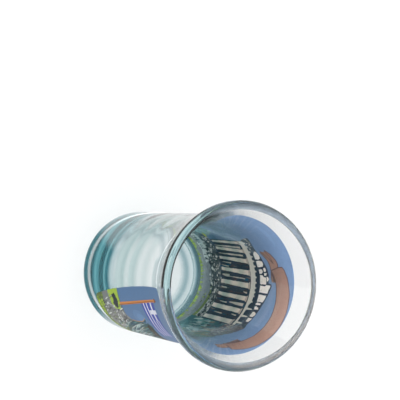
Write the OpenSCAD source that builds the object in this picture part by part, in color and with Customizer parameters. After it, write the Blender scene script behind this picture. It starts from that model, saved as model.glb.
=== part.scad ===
// Souvenir shot glass: a clear, heavy-based vessel with a flared, rolled lip and a
// wrap-around picture of enamel colours, each colour a thin film fired onto the outside.
// It stands upright on its base, with its mouth facing +Z, and the gap in the picture
// faces -X. Pictures are drawn in millimetres along and up the wall: "along" runs
// anticlockwise seen from above, from the picture's left edge.

/* [Vessel] */
// Height from the table to the top of the lip
glass_h = 74.5; // [66:0.5:84]
// Diameter over the lip
rim_d = 46; // [43:0.5:50]
// Diameter of the straight lower body
body_d = 37.8; // [35:0.2:40]
// Thickness of the wall
wall_t = 2.8; // [2:0.1:3.4]
// Thickness of the rolled lip
lip_t = 2.6; // [2:0.1:3.2]
// Height at which the wall starts to flare
flare_z = 50; // [40:1:56]
// Thickness of the solid base
base_t = 12.5; // [8:0.5:16]
// Radius between the floor of the cup and its wall
floor_round = 5.3; // [2:0.1:8]
// Radius of the heel, where the outside meets the underside
heel_round = 1.6; // [0.8:0.1:3]

/* [Underside] */
// Diameter of the hollow that leaves a ring to stand on
hollow_d = 25; // [16:1:30]
// Depth of the hollow at its centre
hollow_h = 0.9; // [0.3:0.1:2]

/* [Picture] */
// Direction of the picture's left edge, in degrees from +X
picture_start = 227; // [0:1:359]
// Length of the picture round the wall, along its top
picture_l = 89; // [84:1:92]
// Height of the picture's bottom edge
picture_z = 9; // [6:0.5:12]
// Height of the picture's top edge
picture_top = 66.5; // [65:0.5:68]
// How far each side edge leans inwards on its way down
side_lean = 5; // [0:0.5:8]
// Radius of the picture's corners
corner_r = 3; // [1:0.5:5]
// Thickness of one fired colour
film_t = 0.12; // [0.1:0.01:0.2]

/* [Temple] */
// Distance along the wall to the first column of the front
front_s = 42.6; // [40:0.2:44]
// Width of the front, from its first column to its last
front_w = 28.4; // [24:0.2:30]
// Number of columns along the front
columns = 8; // [4:1:8]
// Width of a column at its foot
column_w = 1.9; // [1.2:0.1:2.2]
// Height of the columns' feet
column_z = 25; // [22:0.5:27]
// Height of the columns' tops
column_top = 45; // [42:0.5:45]
// Height of the plain stone beam that the columns carry
beam_h = 3; // [1:0.1:3]
// Height of the dark frieze between the beam and the gable
frieze_h = 2.6; // [1:0.1:3]
// Height of the gable above the frieze
gable_h = 5.6; // [3:0.1:6]

/* [Flag and ribbon] */
// Distance along the wall to the foot of the flagpole
pole_s = 6.6; // [6:0.1:8]
// Height of the flagpole's foot
pole_z = 28.5; // [26:0.5:30]
// Height of the flagpole's top
pole_top = 59; // [57:0.5:62]
// How far the top of the pole leans back
pole_lean = 3.1; // [0:0.1:4]
// Width of the flagpole
pole_w = 0.9; // [0.5:0.1:1.2]
// Length of the flag
flag_l = 11.7; // [9:0.1:13]
// Width of one of the flag's nine stripes
stripe_w = 1; // [0.8:0.05:1.1]
// Distance along the wall to the middle of the ribbon
ribbon_s = 47; // [46:0.5:49]
// Length of the ribbon's arched middle
ribbon_l = 31; // [24:1:34]
// Width of the ribbon
ribbon_w = 5; // [3:0.1:5.5]
// How far the ribbon's ends drop below its middle
ribbon_drop = 3.6; // [1:0.1:4]

/* [Hidden] */
$fn = 96;

body_r = body_d / 2;
cup_r = body_r - wall_t;
lip_r = lip_t / 2;
lip_x = rim_d / 2 - lip_r;
lip_z = glass_h - lip_r;
far = 200;

// How far the rolled lip stands proud of the walls that run into it
lip_bead = 0.03;

// A value rounded to a thousandth of a millimetre, and one rounded to a hundredth of a degree
function fine(x) = round(x * 1000) / 1000;
function fine_angle(a) = round(a * 100) / 100;

// Radius of the arc that leaves a straight wall at flare_z and runs into the lip's round.
// The outer wall comes to that round from outside, and the inner wall holds it.
function flare_radius(wall_x, side) =
    fine((pow(lip_x - wall_x, 2) + pow(lip_z - flare_z, 2) - pow(lip_r - lip_bead, 2))
    / (2 * (lip_x - wall_x + side * (lip_r - lip_bead))));
outer_flare = flare_radius(body_r, 1);
inner_flare = flare_radius(cup_r, -1);

// Where an arc that is centred level with flare_z meets the lip's round
function lip_point(centre_x, reach) =
    let (d = [lip_x - centre_x, lip_z - flare_z])
    [fine(centre_x + d[0] * reach / norm(d)), fine(flare_z + d[1] * reach / norm(d))];
outer_end = lip_point(body_r + outer_flare, outer_flare);
inner_end = lip_point(cup_r + inner_flare, inner_flare);

// The temple
closer = 0.947;
temple_l = front_s - 1.3;
temple_r = front_s + front_w + 1.3;
flank_l = 9;
temple_mid = (temple_l - flank_l + temple_r) / 2;
gable_s = (temple_l + temple_r) / 2;
beam_top = column_top + beam_h;
frieze_top = beam_top + frieze_h;
gable_blocks = 9;
joint_w = 0.5;
teeth = 13;
step_count = 3;
step_h = 1;
step_line = 0.3;
step_out = 0.8;
temple_foot = column_z - step_count * step_h;

// Flag and ribbon
flag_top = pole_top - 2.6;
ribbon_top = picture_top - 0.8;
ribbon_half = fine(body_r * sin(ribbon_l / 2 * 180 / (PI * body_r)));
ribbon_r = fine((ribbon_half * ribbon_half + ribbon_drop * ribbon_drop) / (2 * ribbon_drop));

// Ground
ground_z = temple_foot + 1.2;
end_mid = 5;
left_mid = 17;
crag_s = 23;
left_rocks_s = 12;
left_rocks_z = 25;
right_mid = 66;
path_s = 60;
far_hill_s = 79;
right_rocks_s = 68;
right_rocks_z = 17;

// Direction round the glass of a distance along the picture
function ang(s) = fine_angle(picture_start + s * 180 / (PI * body_r));
// Sideways place, seen from the direction of mid, of a distance along the picture
function across(s, mid) = fine(body_r * sin((s - mid) * 180 / (PI * body_r)));

// ---- Vessel ----

// Half section of everything outside the vessel's outer wall above the straight body
module outer_flare_air() {
    intersection() {
        translate([body_r + outer_flare, flare_z]) circle(outer_flare);
        translate([0, flare_z]) square([far, outer_end[1] - flare_z]);
    }
}

// Half section of the vessel as a solid, before the cup is taken out
module outside_section() {
    difference() {
        union() {
            difference() {
                square([outer_end[0], outer_end[1]]);
                translate([body_r, -1]) square([far, flare_z + 1]);
                outer_flare_air();
            }
            translate([lip_x, lip_z]) circle(lip_r);
            translate([0, outer_end[1]]) square([lip_x, glass_h - outer_end[1]]);
        }
        // round heel
        difference() {
            translate([body_r - heel_round, -1]) square(heel_round + 1);
            translate([body_r - heel_round, heel_round]) circle(heel_round);
            translate([body_r - heel_round - 1, heel_round]) square(heel_round + 2);
        }
    }
}

// Half section of the cup
module cup_section() {
    difference() {
        union() {
            // straight part, down to the round at the floor
            translate([0, base_t + floor_round]) square([cup_r, flare_z - base_t - floor_round]);
            translate([0, base_t]) square([cup_r - floor_round, floor_round + 1]);
            intersection() {
                translate([cup_r - floor_round, base_t + floor_round]) circle(floor_round);
                translate([0, base_t]) square([cup_r, floor_round]);
            }
            // flared part, up to the lip
            difference() {
                translate([0, flare_z]) square([inner_end[0], inner_end[1] - flare_z]);
                translate([cup_r + inner_flare, flare_z]) circle(inner_flare);
            }
            translate([0, inner_end[1]]) square([lip_x, lip_t]);
        }
        translate([lip_x, lip_z]) circle(lip_r);
    }
}

module glass_body() {
    dome_r = fine((hollow_d * hollow_d / 4 + hollow_h * hollow_h) / (2 * hollow_h));
    color([0.80, 0.92, 0.91, 0.35])
    difference() {
        rotate_extrude() difference() { outside_section(); cup_section(); }
        translate([0, 0, hollow_h - dome_r]) sphere(dome_r, $fn = 180);
    }
}

// ---- Picture films: the colours lie in two coats, one over the other ----

// Half section of a film over the whole wall, from offset a to b outside the glass
module film_section(a, b) {
    translate([body_r + a, 0]) square([b - a, flare_z]);
    intersection() {
        difference() {
            translate([body_r + outer_flare, flare_z]) circle(outer_flare - a);
            translate([body_r + outer_flare, flare_z]) circle(outer_flare - b);
        }
        translate([0, flare_z]) square([body_r + outer_flare, outer_end[1] - flare_z]);
    }
}

// A patch of the first coat between two distances along the wall and two heights; its
// thickness runs from offset a to b outside the glass
module patch(s0, s1, z0, z1, a = 0, b = film_t) {
    rotate([0, 0, ang(s0)])
    rotate_extrude(angle = fine_angle(ang(s1) - ang(s0)))
    intersection() {
        film_section(a, b);
        translate([0, z0]) square([far, z1 - z0]);
    }
}

// Film in the outline of its children, seen square on from the direction of mid. It is a
// piece of the second coat unless other offsets are given.
module shape(mid, a = film_t, b = 2 * film_t) {
    intersection() {
        rotate([0, 0, ang(mid) - 75]) rotate_extrude(angle = 150) film_section(a, b);
        rotate([0, 0, ang(mid)]) rotate([90, 0, 90]) linear_extrude(far) union() children();
    }
}

// The space that an outline takes right through the first coat
module gap(mid) {
    shape(mid, -1, 1) children();
}

// Outline through points given as distance along the wall and height
module outline(mid, points) {
    polygon([for (p = points) [across(p[0], mid), p[1]]]);
}

// The same for a block between two distances along the wall and two heights
module block(mid, s0, s1, z0, z1) {
    outline(mid, [[s0, z0], [s1, z0], [s1, z1], [s0, z1]]);
}

// ---- First coat: sky and meadow, which fill the whole picture between them ----

// Distance along the wall to the picture's left side at a height: its sides lean inwards
function left_side(z) = side_lean * (picture_top - z) / (picture_top - picture_z);

// What the picture's left side with its round corners leaves outside, seen square on from
// the direction of end_mid; the right side is its mirror image
module side_waste() {
    lean = atan(side_lean / (picture_top - picture_z));
    top = [across(left_side(picture_top - corner_r) + corner_r, end_mid),
           picture_top - corner_r + 0.03];
    foot = [across(side_lean + corner_r, end_mid), picture_z + corner_r - 0.03];
    difference() {
        block(end_mid, -5, 12, picture_z - 2, picture_top + 2);
        polygon(concat(
            [for (i = [0:8]) top + corner_arm(90 + i * (90 + lean) / 8)],
            [for (i = [0:8]) foot + corner_arm(180 + lean + i * (90 - lean) / 8)],
            [[far, foot[1] - corner_r], [far, top[1] + corner_r]]));
    }
}

function corner_arm(turn) = corner_r * [cos(turn), sin(turn)];

// The whole printed area
module picture_area() {
    difference() {
        patch(-2, picture_l + 2, picture_z, picture_top);
        gap(end_mid) side_waste();
        gap(picture_l - end_mid) mirror([1, 0]) side_waste();
    }
}

// The space of the flat ground, right round the picture
module ground_band() {
    patch(-4, picture_l + 4, picture_z - 1, ground_z, -1, 1);
}

// ---- The temple, drawn flat as seen square on from the direction of temple_mid ----

// Distance along the wall to one column's middle: the columns stand closer going right
function column_s(i) = front_s + front_w * (1 - pow(closer, i)) / (1 - pow(closer, columns - 1));

// What lies behind the stone: the front with its steps, and the side going off to the left
module shade_outline() {
    block(temple_mid, temple_l, temple_r, column_z - 0.5, frieze_top);
    block(temple_mid, temple_l - step_out * (step_count - 1),
          temple_r + step_out * (step_count - 1), temple_foot, column_z);
    outline(temple_mid, [
        [temple_l - flank_l, column_z + 1.5], [temple_l - flank_l, column_top],
        [temple_l, frieze_top - 0.5], [temple_l + 1, frieze_top - 0.5],
        [temple_l + 1, temple_foot + 0.5], [temple_l - 4, temple_foot + 0.5]]);
}

// The gable: whole on its left and broken down to a few blocks on its right
module gable_outline() {
    outline(temple_mid, [
        [temple_l + 0.5, frieze_top],
        [temple_l + 5, frieze_top + gable_h * 0.28], [gable_s + 1, frieze_top + gable_h],
        [gable_s + 2, frieze_top + gable_h * 0.6], [gable_s + 7, frieze_top + gable_h * 0.5],
        [gable_s + 8, frieze_top + gable_h * 0.4], [temple_r - 3, frieze_top + gable_h * 0.25],
        [temple_r - 0.5, frieze_top]]);
}

// The light stone below the gable: columns, beam with its block ends, and steps
module front_stone_outline() {
    for (i = [0:columns - 1]) {
        half = column_w / 2 * pow(closer, i);
        block(temple_mid, column_s(i) - half, column_s(i) + half, column_z - 0.5, column_top + 0.5);
    }
    block(temple_mid, temple_l, temple_r, column_top, beam_top);
    for (i = [0:teeth - 1]) {
        s = temple_l + (temple_r - temple_l) * (i + 0.5) / teeth;
        block(temple_mid, s - joint_w, s + joint_w, beam_top - 0.5, beam_top + frieze_h * 0.6);
    }
    for (i = [0:step_count - 1])
        block(temple_mid, temple_l - i * step_out, temple_r + i * step_out,
              column_z - (i + 1) * step_h, column_z - i * step_h - step_line);
}

// The gable's blocks, with open joints between them
module gable_blocks_outline() {
    difference() {
        gable_outline();
        for (i = [1:gable_blocks - 1]) {
            s = temple_l + (temple_r - temple_l) * i / gable_blocks;
            block(temple_mid, s - joint_w / 2, s + joint_w / 2, frieze_top - 1,
                  frieze_top + gable_h + 1);
        }
    }
}

// ---- The left of the picture, drawn flat from the direction of left_mid ----

// Distance along the wall to the flag's edge at the pole, at a height
function hoist(z) = pole_s + pole_w + 0.15 - pole_lean * (z - pole_z) / (pole_top - pole_z);

module pole_outline() {
    outline(left_mid, [[pole_s, pole_z], [pole_s - pole_lean, pole_top],
        [pole_s - pole_lean + pole_w, pole_top], [pole_s + pole_w, pole_z]]);
    translate([across(pole_s - pole_lean + pole_w / 2, left_mid), pole_top]) circle(pole_w);
}

// A stretch of stripes, from distances l0 to l1 along the flag and t0 to t1 below its top
module flag_stretch(l0, l1, t0, t1) {
    outline(left_mid, [for (c = [[l0, t0], [l1, t0], [l1, t1], [l0, t1]])
        [hoist(flag_top - c[1]) + c[0], flag_top - c[1]]]);
}

module flag_outline() {
    flag_stretch(0, flag_l, 0, 9 * stripe_w);
}

// The white stripes and the cross in the corner, running past the flag's edges
module flag_white_outline() {
    canton = 5 * stripe_w;
    for (i = [0:3])
        flag_stretch(i < 2 ? canton : -1, flag_l + 1, (2 * i + 1) * stripe_w,
                     (2 * i + 2) * stripe_w);
    flag_stretch(2 * stripe_w, 3 * stripe_w, -1, canton + 0.5);
    flag_stretch(-1, canton + 0.5, 2 * stripe_w, 3 * stripe_w);
}

// The grassy mound that the pole stands on
module mound_outline() {
    foot = ground_z + 0.2;
    outline(left_mid, [
        [left_side(foot) + 0.2, foot], [left_side(pole_z) + 0.2, pole_z + 0.5],
        [pole_s + 1, pole_z - 0.2], [pole_s + 6, pole_z - 1.7], [pole_s + 10, foot]]);
}

// The crag between the flag and the temple
module crag_outline() {
    edge = temple_l - flank_l - 0.3;
    outline(left_mid, [
        [crag_s - 12, ground_z + 0.2], [crag_s - 12, pole_z + 7], [crag_s - 11.6, column_top - 2],
        [crag_s - 7, column_top - 1.5], [crag_s, column_top - 3.5], [edge, column_top - 7],
        [edge, ground_z - 8], [crag_s + 2, ground_z - 6]]);
}

module left_stones_outline() {
    for (i = [0:4])
        stone(left_mid, left_rocks_s + 3.6 * (i % 2) + i, left_rocks_z - 3.2 * i,
              1.5 + 0.2 * (i % 3), i);
}

// ---- The right of the picture, drawn flat from the direction of right_mid ----

// One stone: a rough six-sided outline
module stone(mid, s, z, size, seed) {
    bump = rands(0.7, 1.15, 6, seed);
    translate([across(s, mid), z])
    polygon([for (i = [0:5]) [fine(size * bump[i] * 1.5 * cos(60 * i)),
                              fine(size * bump[i] * sin(60 * i))]]);
}

module right_stones_outline() {
    for (i = [0:5])
        stone(right_mid, right_rocks_s + 3.7 * (i - 2.5), right_rocks_z + 1.6 * (i % 2),
              1.5 + 0.15 * (i % 3), 10 + i);
}

module path_outline() {
    foot = picture_z + 0.3;
    outline(right_mid, [
        [path_s - 12, foot], [path_s - 7, picture_z + 3], [path_s - 2, picture_z + 6],
        [path_s + 3, picture_z + 6.5], [path_s + 10, picture_z + 4], [path_s + 14, foot]]);
}

module far_hill_outline() {
    foot = ground_z + 0.2;
    side = picture_l - left_side(column_z) - 0.4;
    outline(right_mid, [
        [temple_r + 2, foot], [temple_r + 2, column_z + 9], [far_hill_s, column_z + 6],
        [side, column_z + 4], [side, foot]]);
}

// ---- The ribbon, drawn flat from its own middle ----

// A ribbon's forked end: side is 1 for the right one and -1 for the left one
module ribbon_tail(side) {
    x = side * (ribbon_half - 2);
    z = ribbon_top - ribbon_drop - ribbon_w * 0.3;
    polygon([[x, z], [x + side * 3, z - 1.4], [x + side * 4.6, z - 2.6], [x + side * 3.4, z - 3.2],
             [x + side * 4.2, z - 5.4], [x + side * 1.4, z - 4.2], [x - side * 3, z - 3.6],
             [x - side * 3, z - 1]]);
}

module ribbon_outline() {
    intersection() {
        translate([0, ribbon_top - ribbon_r]) difference() {
            circle(ribbon_r);
            circle(ribbon_r - ribbon_w);
        }
        translate([-ribbon_half, ribbon_top - ribbon_w - ribbon_drop - 1])
            square([2 * ribbon_half, ribbon_w + ribbon_drop + 1]);
    }
    ribbon_tail(-1);
    ribbon_tail(1);
}

// ---- The colours ----

module sky_print() {
    color([0.38, 0.50, 0.68]) difference() { picture_area(); ground_band(); }
}

module meadow_print() {
    color([0.50, 0.62, 0.22]) {
        intersection() { picture_area(); ground_band(); }
        shape(left_mid) difference() { mound_outline(); pole_outline(); left_stones_outline(); }
    }
}

module hill_print() {
    color([0.32, 0.46, 0.45]) {
        shape(left_mid) difference() {
            crag_outline();
            mound_outline();
            left_stones_outline();
        }
        shape(right_mid) far_hill_outline();
    }
}

module path_print() {
    color([0.45, 0.48, 0.50])
    shape(right_mid) difference() { path_outline(); right_stones_outline(); }
}

module rock_print() {
    color([0.66, 0.66, 0.63]) {
        shape(left_mid) left_stones_outline();
        shape(right_mid) right_stones_outline();
    }
}

module temple_stone_print() {
    color([0.80, 0.77, 0.68]) {
        shape(temple_mid) front_stone_outline();
        shape(temple_mid) gable_blocks_outline();
    }
}

module shadow_print() {
    color([0.20, 0.22, 0.26])
    shape(temple_mid) difference() { shade_outline(); front_stone_outline(); }
}

module ribbon_print() {
    color([0.72, 0.45, 0.33]) shape(ribbon_s) ribbon_outline();
}

module flagpole_print() {
    color([0.62, 0.38, 0.20]) shape(left_mid) pole_outline();
}

module flag_blue_print() {
    color([0.20, 0.24, 0.55])
    shape(left_mid) difference() { flag_outline(); flag_white_outline(); }
}

module flag_white_print() {
    color([0.85, 0.85, 0.88])
    shape(left_mid) intersection() { flag_outline(); flag_white_outline(); }
}

glass_body();
sky_print();
hill_print();
meadow_print();
path_print();
rock_print();
temple_stone_print();
shadow_print();
ribbon_print();
flagpole_print();
flag_blue_print();
flag_white_print();
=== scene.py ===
"""Souvenir shot glass: a clear flared vessel with a picture fired on in enamels.

Lengths below are millimetres in the frame of the CAD model, which stands upright with the middle
of its base at the origin. Places in the picture are (distance along the wall from the picture's
left edge, height), seen from outside. MM turns millimetres into Blender's metres.
"""

import math
import random

import bmesh
import bpy
from mathutils import Matrix, Vector


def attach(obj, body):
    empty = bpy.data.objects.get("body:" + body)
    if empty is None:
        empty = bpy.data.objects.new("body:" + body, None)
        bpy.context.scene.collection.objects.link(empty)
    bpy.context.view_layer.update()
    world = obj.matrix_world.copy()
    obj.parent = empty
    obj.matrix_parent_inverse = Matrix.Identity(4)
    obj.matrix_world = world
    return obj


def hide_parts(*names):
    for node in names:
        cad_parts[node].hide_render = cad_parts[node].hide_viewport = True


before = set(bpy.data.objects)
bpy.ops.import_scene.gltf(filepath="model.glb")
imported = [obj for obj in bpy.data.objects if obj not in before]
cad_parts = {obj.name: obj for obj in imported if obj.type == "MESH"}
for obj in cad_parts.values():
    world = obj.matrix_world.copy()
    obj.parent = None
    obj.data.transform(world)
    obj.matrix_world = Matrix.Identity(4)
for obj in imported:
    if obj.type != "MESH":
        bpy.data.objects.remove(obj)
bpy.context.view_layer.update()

MM = 0.001

# ---- Sizes of the vessel ----
HEIGHT = 74.5
BODY_R = 18.9
RIM_R = 23.0
WALL = 2.8
LIP_R = 1.3
LIP_BEAD = 0.03
FLARE_Z = 50.0
BASE_T = 12.5
FLOOR_ROUND = 5.3
HEEL_ROUND = 1.6
HOLLOW_R = 12.5
HOLLOW_H = 0.9
FOOT_ROUND = 0.5
RIPPLE, RIPPLE_STEP, RIPPLE_CREST = 0.03, 10.0, 38.0  # faint rings left on the cup's wall by pressing
TURNS = 240  # flat faces round the vessel

CUP_R = BODY_R - WALL
LIP_X = RIM_R - LIP_R
LIP_Z = HEIGHT - LIP_R


def flare_radius(wall_x, side):
    """Radius of the arc that leaves a straight wall at FLARE_Z and runs into the lip's round."""
    reach = LIP_R - LIP_BEAD
    run, rise = LIP_X - wall_x, LIP_Z - FLARE_Z
    return (run**2 + rise**2 - reach**2) / (2 * (run + side * reach))


OUTER_FLARE = flare_radius(BODY_R, 1)
INNER_FLARE = flare_radius(CUP_R, -1)

# ---- Sizes of the picture ----
PICTURE_START = 227.0  # direction of the picture's left edge, in degrees from +X
PICTURE_L = 89.0
PICTURE_BOTTOM = 9.0
PICTURE_TOP = 66.5
SIDE_LEAN = 5.4  # how far each side runs inwards from top to bottom, more and more
SIDE_OUT = 0.4
CORNER_R, TOP_CORNER_R = 3.0, 4.5

# A colour is a film this deep in the glass and this far out of it; each coat over it is
# thicker both ways, so that it shows from inside and from outside
FILM_IN, FILM_OUT = 0.006, 0.008
COAT_IN, COAT_OUT = 0.004, 0.005
FACE_SHARE, FACE_HOLD = 1.05, 0.5  # tint of an ink's face as a share of the colour it shows
BACK_SHARE = (1.0, 0.8, 0.75)  # the same for its back, which is lit and seen through the glass
BACK_MOST = 0.92  # the palest colour that a back can look
THROWN_BACK = 0.556  # the share of a bonded ink's light that the glass throws back onto it
WRAP_STEP = 0.5  # longest straight run round the wall
FLARE_STEP = 1.5  # longest straight run up the flare
SPECK = 0.002  # an outline smaller than this, in square millimetres, is left out


# ---- Look of the glass ----
# A run is (start, end, share at the start, share at the end), and the share changes evenly between
# them. Start and end are millimetres of height or radius where nothing else is said.
DEPTH_TINT, DENSITY = (0.55, 0.82, 0.84, 1), 13.0  # the colour of the glass in depth
WAVE_SCALE, WAVE_DEPTH, WAVE_STRENGTH = 110.0, 0.2, 0.08  # the waviness of the wall
HAZE_SCALE, HAZE = 60.0, (0.45, 0.8, 0.0, 0.05)  # roughness, by the strength of a noise
REFLECTION_RING_TINT = (0.36, 0.54, 0.54, 1)  # painted reflection: rings of a deeper colour, one above the other, painted on the wall for the base's reflections seen through it
RING_FOOT, RING_STEP = 32.0, 9.4
RING_START = (25.0, 28.0, 0.0, 1.0)
RING_FADE = (30.0, 62.0, 0.56, 0.0)
RING_EVEN = (CUP_R + 1, BODY_R - 0.5, 1.2, 2.2)  # the even part under the rings, stronger outside
BASE_TINT = (0.06, 0.30, 0.35, 1)  # the thick base has a deeper colour still
BASE_TOP = (BASE_T + 9.5, BASE_T + 12, 1.0, 0.0)
BASE_MIDDLE = (9.0, 13.0, 0.2, 1.0)  # it is paler in the middle of the cup's floor and underside,
BASE_HEEL = (0.8, 2.5, 0.3, 1.0)  # at the heel's round,
BASE_CUP = (0.2, 1.4, 0.35, 1.0)  # and on the cup's wall, by the distance from its radius
SQUARE_ON = (0.1, 0.5, 0.55, 1.0)  # both tints, by how far from square on the surface is seen

# ---- Look of the inks ----
CLOUD_SCALE, GRAIN_SCALE = 900.0, 7000.0
SPREAD = (0.7, 1.3)  # the usual range of both noises together
GRAIN_DEPTH, GRAIN_STRENGTH = 0.02, 0.3
SEEN_THROUGH = 0.2  # the share of the light that passes an ink
MIRRORED_INK = (0.36, 0.37, 0.38, 1)  # painted reflection: the grey that an ink is held back towards where the glass mirrors it
MIRRORED_SHARE = 0.7


# ---- Camera: the view of the photograph, in the frame of the upright glass ----
CAMERA_PLACE = (-132.6, -92.6, 397.8)
CAMERA_RIGHT = (0.6543, 0.6309, 0.4144)
CAMERA_BACK = (-0.3023, -0.2827, 0.9101)
LENS, SENSOR = 121.5, 36.0


def make_camera():
    data = bpy.data.cameras.new("camera")
    data.lens, data.sensor_width = LENS, SENSOR
    data.clip_start, data.clip_end = 0.01, 20.0
    camera = bpy.data.objects.new("camera", data)
    right, back = Vector(CAMERA_RIGHT), Vector(CAMERA_BACK)
    turn = Matrix((right, back.cross(right), back)).transposed()
    camera.matrix_world = Matrix.Translation(Vector(CAMERA_PLACE) * MM) @ turn.to_4x4()
    bpy.context.collection.objects.link(camera)
    bpy.context.scene.camera = camera


# ---- Materials ----
def node_tree(name):
    material = bpy.data.materials.new(name)
    material.use_nodes = True
    tree = material.node_tree
    tree.nodes.clear()
    return material, tree, tree.nodes.new("ShaderNodeOutputMaterial")


def make_node(tree, kind, inputs=(), **settings):
    node = tree.nodes.new(kind)
    for key, value in settings.items():
        setattr(node, key, value)
    for key, value in dict(inputs).items():
        if isinstance(value, bpy.types.NodeSocket):
            tree.links.new(value, node.inputs[key])
        else:
            node.inputs[key].default_value = value
    return node


def object_place(tree):
    return make_node(tree, "ShaderNodeTexCoord").outputs["Object"]


def calc(tree, operation, *values):
    """A number worked out from numbers."""
    node = make_node(tree, "ShaderNodeMath", dict(enumerate(values)), operation=operation)
    return node.outputs["Value"]


def measure(tree, operation, *vectors):
    """A number worked out from vectors."""
    node = make_node(tree, "ShaderNodeVectorMath", dict(enumerate(vectors)), operation=operation)
    return node.outputs["Value"]


def distance(tree, value, place):
    """How far a value is from a place, either way."""
    return calc(tree, "ABSOLUTE", calc(tree, "SUBTRACT", value, place))


def ramp(tree, value, run, unit=1.0, **settings):
    """The share that a run gives for a value; the run's start and end are in the given unit."""
    start, end, first, last = run
    node = make_node(tree, "ShaderNodeMapRange",
                     {"Value": value, "From Min": start * unit, "From Max": end * unit,
                      "To Min": first, "To Max": last}, **settings)
    return node.outputs["Result"]


def smooth(tree, value, run, unit=1.0):
    """The same, with soft ends."""
    return ramp(tree, value, run, unit, interpolation_type="SMOOTHSTEP")


def mix(tree, factor, first, second):
    """Between two numbers."""
    node = make_node(tree, "ShaderNodeMix", {"Factor": factor, 2: first, 3: second},
                     data_type="FLOAT")
    return node.outputs[0]


def blend(tree, factor, first, second):
    """Between two colours."""
    node = make_node(tree, "ShaderNodeMix", {"Factor": factor, 6: first, 7: second},
                     data_type="RGBA")
    return node.outputs[2]


def noise(tree, place, scale, detail):
    inputs = {"Vector": place, "Scale": scale, "Detail": detail}
    return make_node(tree, "ShaderNodeTexNoise", inputs).outputs["Fac"]


def bumps(tree, height, strength, depth):
    inputs = {"Height": height, "Strength": strength, "Distance": depth * MM}
    return make_node(tree, "ShaderNodeBump", inputs).outputs["Normal"]


def reflection_ring_share(tree, height, radius):
    """How much of the painted reflection rings' colour the wall has: a wave by height that fades towards
    the lip.
    """
    turn = ramp(tree, height, (RING_FOOT, RING_FOOT + RING_STEP, 0.0, 2 * math.pi), MM, clamp=False)
    wave = calc(tree, "ADD", calc(tree, "COSINE", turn), ramp(tree, radius, RING_EVEN, MM))
    fade = calc(tree, "MULTIPLY", ramp(tree, height, RING_FADE, MM),
                ramp(tree, height, RING_START, MM))
    return calc(tree, "MULTIPLY", wave, fade)


def base_share(tree, height, radius):
    """How much of the base's deeper colour the surface has."""
    gap = distance(tree, radius, CUP_R * MM)
    lower = calc(tree, "MINIMUM", ramp(tree, gap, BASE_CUP, MM), ramp(tree, height, BASE_HEEL, MM))
    skin = calc(tree, "MINIMUM", ramp(tree, radius, BASE_MIDDLE, MM), lower)
    return calc(tree, "MULTIPLY", ramp(tree, height, BASE_TOP, MM), skin)


def glass_material():
    """Soda glass with a sea-green body colour, painted reflection rings up the wall and the faint waviness
    of a pressed wall.
    """
    material, tree, out = node_tree("clear_glass")
    place = object_place(tree)
    height = make_node(tree, "ShaderNodeSeparateXYZ", {"Vector": place}).outputs["Z"]
    flat = make_node(tree, "ShaderNodeVectorMath", {0: place, 1: (1, 1, 0)}, operation="MULTIPLY")
    radius = measure(tree, "LENGTH", flat.outputs["Vector"])
    slant = make_node(tree, "ShaderNodeLayerWeight", {"Blend": 0.5}).outputs["Facing"]
    longer = ramp(tree, slant, SQUARE_ON)  # a slanting path through the body is longer
    deep = calc(tree, "MULTIPLY", base_share(tree, height, radius), longer)
    # painted reflection: bands of deeper colour up the wall stand in for the base's reflections
    band = calc(tree, "MULTIPLY", reflection_ring_share(tree, height, radius), longer)
    colour = blend(tree, band, blend(tree, deep, (1, 1, 1, 1), BASE_TINT), REFLECTION_RING_TINT)
    wave = bumps(tree, noise(tree, place, WAVE_SCALE, 1.0), WAVE_STRENGTH, WAVE_DEPTH)
    rough = ramp(tree, noise(tree, place, HAZE_SCALE, 3.0), HAZE)
    shader = make_node(tree, "ShaderNodeBsdfPrincipled",
                       {"Base Color": colour, "Transmission Weight": 1.0, "IOR": 1.5,
                        "Roughness": rough, "Normal": wave})
    depth = make_node(tree, "ShaderNodeVolumeAbsorption", {"Color": DEPTH_TINT, "Density": DENSITY})
    tree.links.new(shader.outputs["BSDF"], out.inputs["Surface"])
    tree.links.new(depth.outputs["Volume"], out.inputs["Volume"])
    return material


def enamel_material(name, gloss, mottle):
    """Fired ink: its colour is the film's own tint, mottled by pigment and pin-holes, and held back towards
    grey as painted reflection where the glass mirrors it.
    """
    material, tree, out = node_tree(name)
    place = object_place(tree)
    ink = make_node(tree, "ShaderNodeAttribute", attribute_name="ink").outputs["Color"]
    mirrored = make_node(tree, "ShaderNodeLightPath").outputs["Glossy Depth"]
    # painted reflection: where the glass mirrors an ink, its colour is held back towards grey
    tint = blend(tree, calc(tree, "MINIMUM", mirrored, MIRRORED_SHARE), ink, MIRRORED_INK)
    cloud, grain = noise(tree, place, CLOUD_SCALE, 4.0), noise(tree, place, GRAIN_SCALE, 2.0)
    value = ramp(tree, calc(tree, "ADD", cloud, grain), (*SPREAD, 1 - mottle, 1 + mottle))
    colour = make_node(tree, "ShaderNodeHueSaturation", {"Color": tint, "Value": value})
    colour = colour.outputs["Color"]
    face = make_node(tree, "ShaderNodeBsdfPrincipled",
                     {"Base Color": colour, "IOR": 1.5, "Specular IOR Level": 0.05,
                      "Roughness": ramp(tree, cloud, (0.0, 1.0, gloss - 0.1, gloss + 0.15)),
                      "Normal": bumps(tree, grain, GRAIN_STRENGTH, GRAIN_DEPTH)})
    through = make_node(tree, "ShaderNodeBsdfTranslucent", {"Color": colour})
    both = make_node(tree, "ShaderNodeMixShader", {"Fac": SEEN_THROUGH, 1: face.outputs["BSDF"],
                                                   2: through.outputs["BSDF"]})
    tree.links.new(both.outputs["Shader"], out.inputs["Surface"])
    return material


# ---- Vessel ----
def arc(centre, radius, start, end, count):
    """Points on an arc in the half section, angles in degrees from outwards."""
    turns = [math.radians(start + (end - start) * i / count) for i in range(count + 1)]
    return [(centre[0] + radius * math.cos(t), centre[1] + radius * math.sin(t)) for t in turns]


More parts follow.
